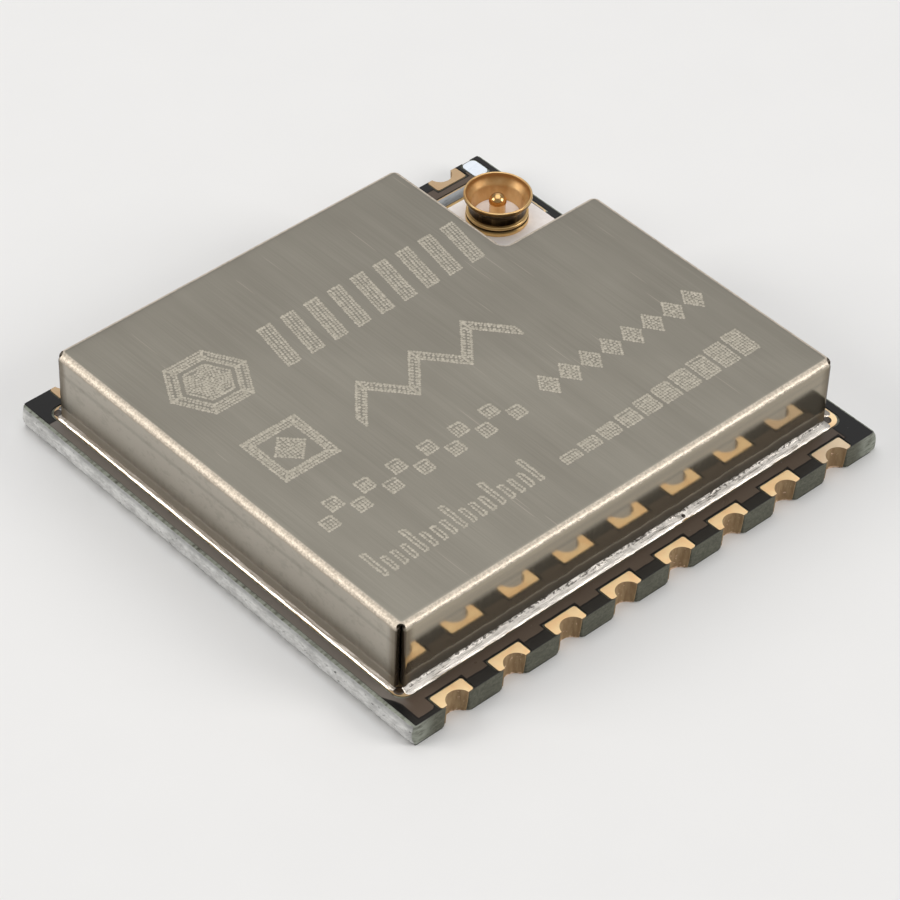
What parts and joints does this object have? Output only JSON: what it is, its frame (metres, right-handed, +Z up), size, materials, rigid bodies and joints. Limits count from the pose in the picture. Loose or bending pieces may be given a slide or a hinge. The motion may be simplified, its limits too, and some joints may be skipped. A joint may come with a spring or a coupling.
{
  "type": "shielded radio module",
  "caption": "Castellated radio board under a folded metal can, with a micro coaxial aerial receptacle in the can's corner notch.",
  "frame": {"origin": "centre of the board's underside", "axes": "+X along the castellated edges, +Y towards the receptacle's side, +Z up out of the board"},
  "size_m": [0.0172, 0.016, 0.003],
  "materials": {
    "laminate": "cut edge of a glass fibre laminate, grey green with pale fibres",
    "solder_mask": "glossy black solder mask",
    "gold_contact": "pale gold plating over copper, dull in the half holes",
    "gold_land": "pale gold plating over copper",
    "tinned_land": "tinned land, bluish white",
    "nickel_silver": "warm grey brushed sheet with bright bends",
    "solder": "bright solder with a crinkled surface",
    "white_moulding": "off-white moulding",
    "gold_shell": "polished deep gold plating",
    "black_moulding": "black moulding compound",
    "tinned_terminal": "matte tin",
    "crystal_ceramic": "sintered ceramic",
    "crystal_metal": "satin metal",
    "capacitor_ceramic": "tan ceramic",
    "resistor_glaze": "black glaze",
    "inductor_ceramic": "blue grey ceramic"
  },
  "bodies": {
    "root": {"laminate": "laminate", "mask_top": "solder_mask", "mask_bottom": "solder_mask", "contact_1": "gold_contact", "contact_2": "gold_contact", "contact_3": "gold_contact", "contact_4": "gold_contact", "contact_5": "gold_contact", "contact_6": "gold_contact", "contact_7": "gold_contact", "contact_8": "gold_contact", "contact_9": "gold_contact", "contact_10": "gold_contact", "contact_11": "gold_contact", "contact_12": "gold_contact", "contact_13": "gold_contact", "contact_14": "gold_contact", "contact_15": "gold_contact", "contact_16": "gold_contact", "ground_land": "gold_land", "receptacle_lands": "gold_land", "component_lands": "gold_land", "corner_land": "tinned_land", "shield_can": "nickel_silver", "solder_front": "solder", "solder_back": "solder", "solder_left": "solder", "solder_right": "solder", "receptacle_solder": "solder", "receptacle_base": "white_moulding", "receptacle_shell": "gold_shell", "receptacle_pin": "gold_shell", "controller_body": "black_moulding", "memory_body": "black_moulding", "controller_terminals": "tinned_terminal", "memory_leads": "tinned_terminal", "capacitor_caps": "tinned_terminal", "resistor_caps": "tinned_terminal", "inductor_caps": "tinned_terminal", "crystal_case": "crystal_ceramic", "crystal_lid": "crystal_metal", "capacitor_1": "capacitor_ceramic", "capacitor_2": "capacitor_ceramic", "capacitor_3": "capacitor_ceramic", "capacitor_4": "capacitor_ceramic", "capacitor_5": "capacitor_ceramic", "capacitor_6": "capacitor_ceramic", "resistor_1": "resistor_glaze", "resistor_2": "resistor_glaze", "resistor_3": "resistor_glaze", "inductor_1": "inductor_ceramic", "inductor_2": "inductor_ceramic", "inductor_3": "inductor_ceramic"}
  },
  "joints": []
}
